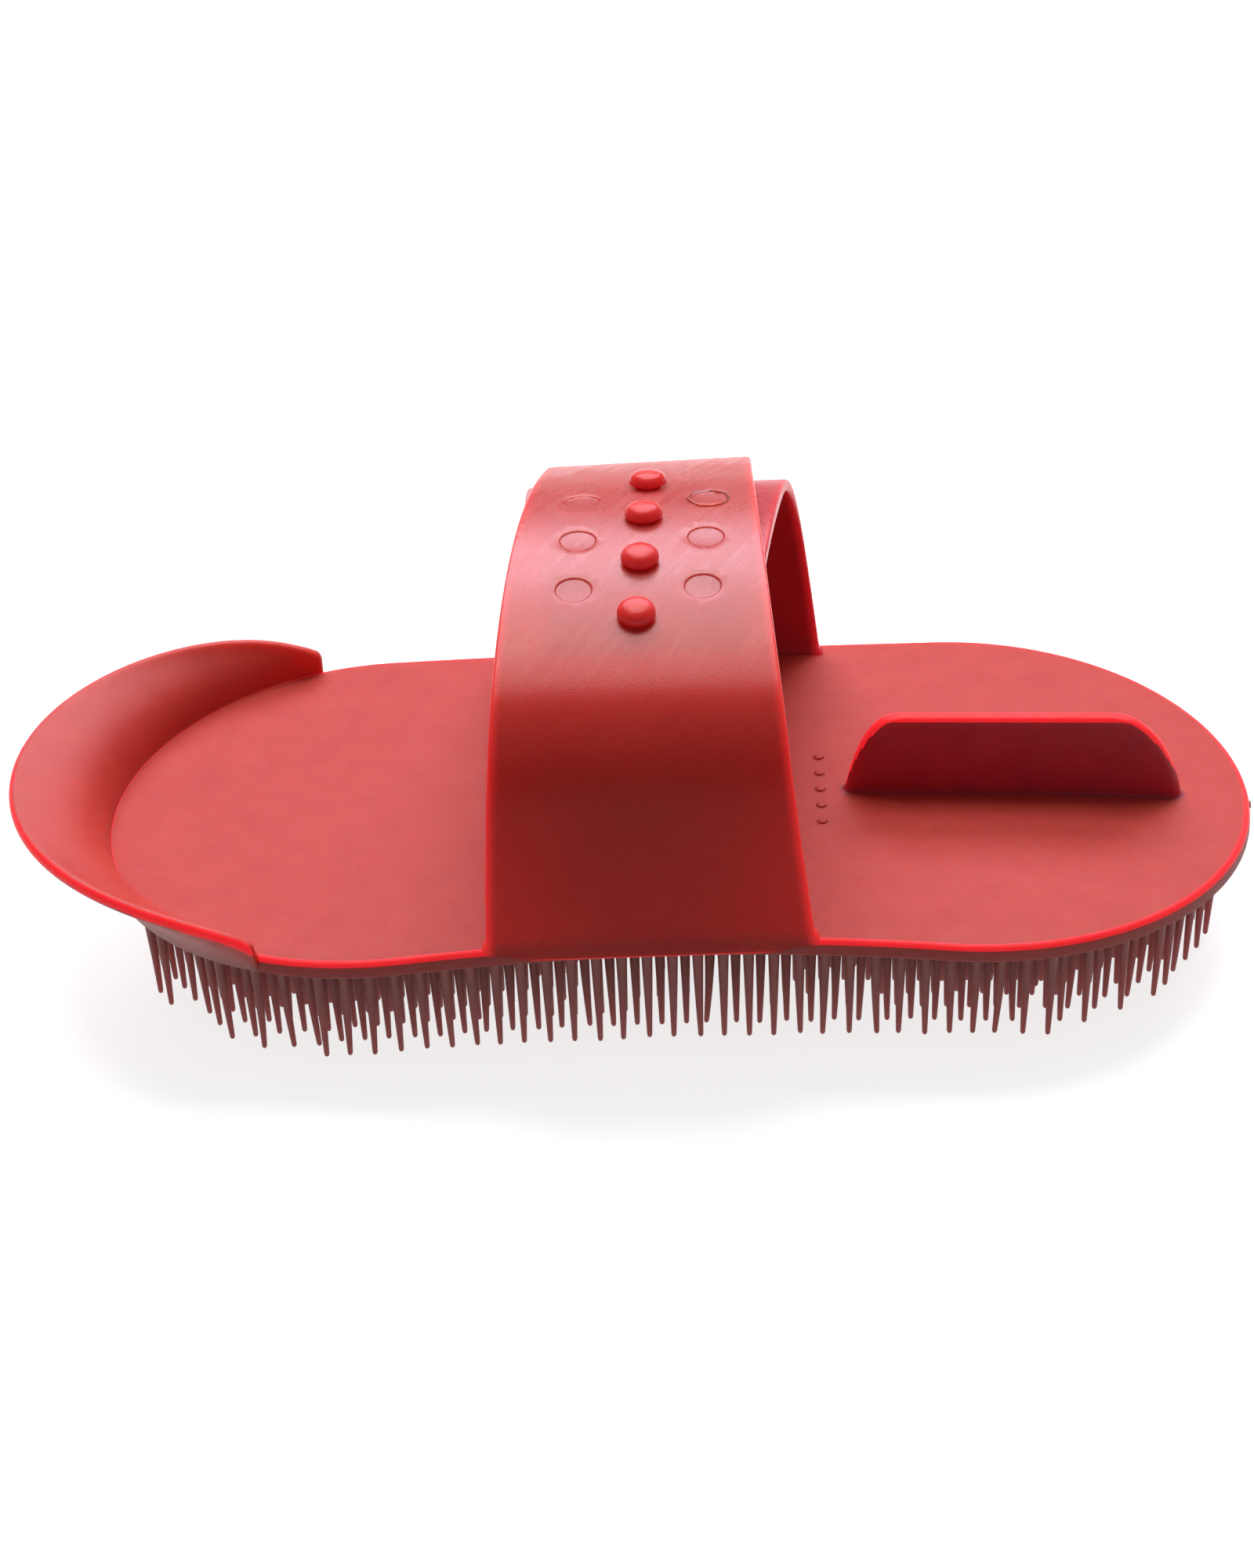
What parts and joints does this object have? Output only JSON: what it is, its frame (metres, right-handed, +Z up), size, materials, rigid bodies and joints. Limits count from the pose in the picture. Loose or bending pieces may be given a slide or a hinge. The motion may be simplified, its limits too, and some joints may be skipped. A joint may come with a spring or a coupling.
{
  "type": "curry comb",
  "caption": "Flexible plastic curry comb: arched oval back with a flared end, an upright thumb fin, dense conical teeth below and a hand strap buttoned over mushroom studs.",
  "frame": {"origin": "middle of the bounding box's footprint, at the height of the surface that the lowest tooth tips stand on", "axes": "+X along the comb from the flared scoop to the thumb fin, +Y from the outer strap half's root to the inner strap half's root, +Z up through the strap"},
  "size_m": [0.21, 0.0962, 0.0787],
  "materials": {
    "back": "satin moulded soft polyethylene, slightly translucent red",
    "strap": "satin moulded soft polyethylene with fine lengthwise lines, slightly translucent red",
    "stud": "smoother moulded soft polyethylene, slightly translucent red",
    "teeth": "satin moulded soft polyethylene, slightly translucent dark red"
  },
  "bodies": {
    "comb_back": {"back_plate": "back", "scoop_lip": "back", "thumb_fin": "back", "mould_dots": "back", "gate_stub": "back", "tooth_row_01": "teeth", "tooth_row_02": "teeth", "tooth_row_03": "teeth", "tooth_row_04": "teeth", "tooth_row_05": "teeth", "tooth_row_06": "teeth", "tooth_row_07": "teeth", "tooth_row_08": "teeth", "tooth_row_09": "teeth", "tooth_row_10": "teeth", "tooth_row_11": "teeth", "tooth_row_12": "teeth", "tooth_row_13": "teeth", "tooth_row_14": "teeth", "tooth_row_15": "teeth", "tooth_row_16": "teeth", "tooth_row_17": "teeth", "tooth_row_18": "teeth", "tooth_row_19": "teeth", "tooth_row_20": "teeth", "tooth_row_21": "teeth", "tooth_row_22": "teeth"},
    "front_half": {"front_strap": "strap"},
    "rear_half": {"rear_strap": "strap", "stud_1": "stud", "stud_2": "stud", "stud_3": "stud", "stud_4": "stud"}
  },
  "joints": [
    {"name": "front_strap_swing", "type": "hinge", "parent": "comb_back", "child": "front_half", "pos_m": [0.0028, -0.0445, 0.02474], "axis": [1, 0, 0], "range_deg": [0, 100], "deforming": ["stud_1", "stud_2", "stud_3", "stud_4"]},
    {"name": "rear_strap_swing", "type": "hinge", "parent": "comb_back", "child": "rear_half", "pos_m": [0.0064, 0.0445, 0.02474], "axis": [-1, 0, 0], "range_deg": [0, 40]}
  ],
  "couplings": [
    {"joint": "rear_strap_swing", "follows": "front_strap_swing", "ratio": 0.4}
  ]
}
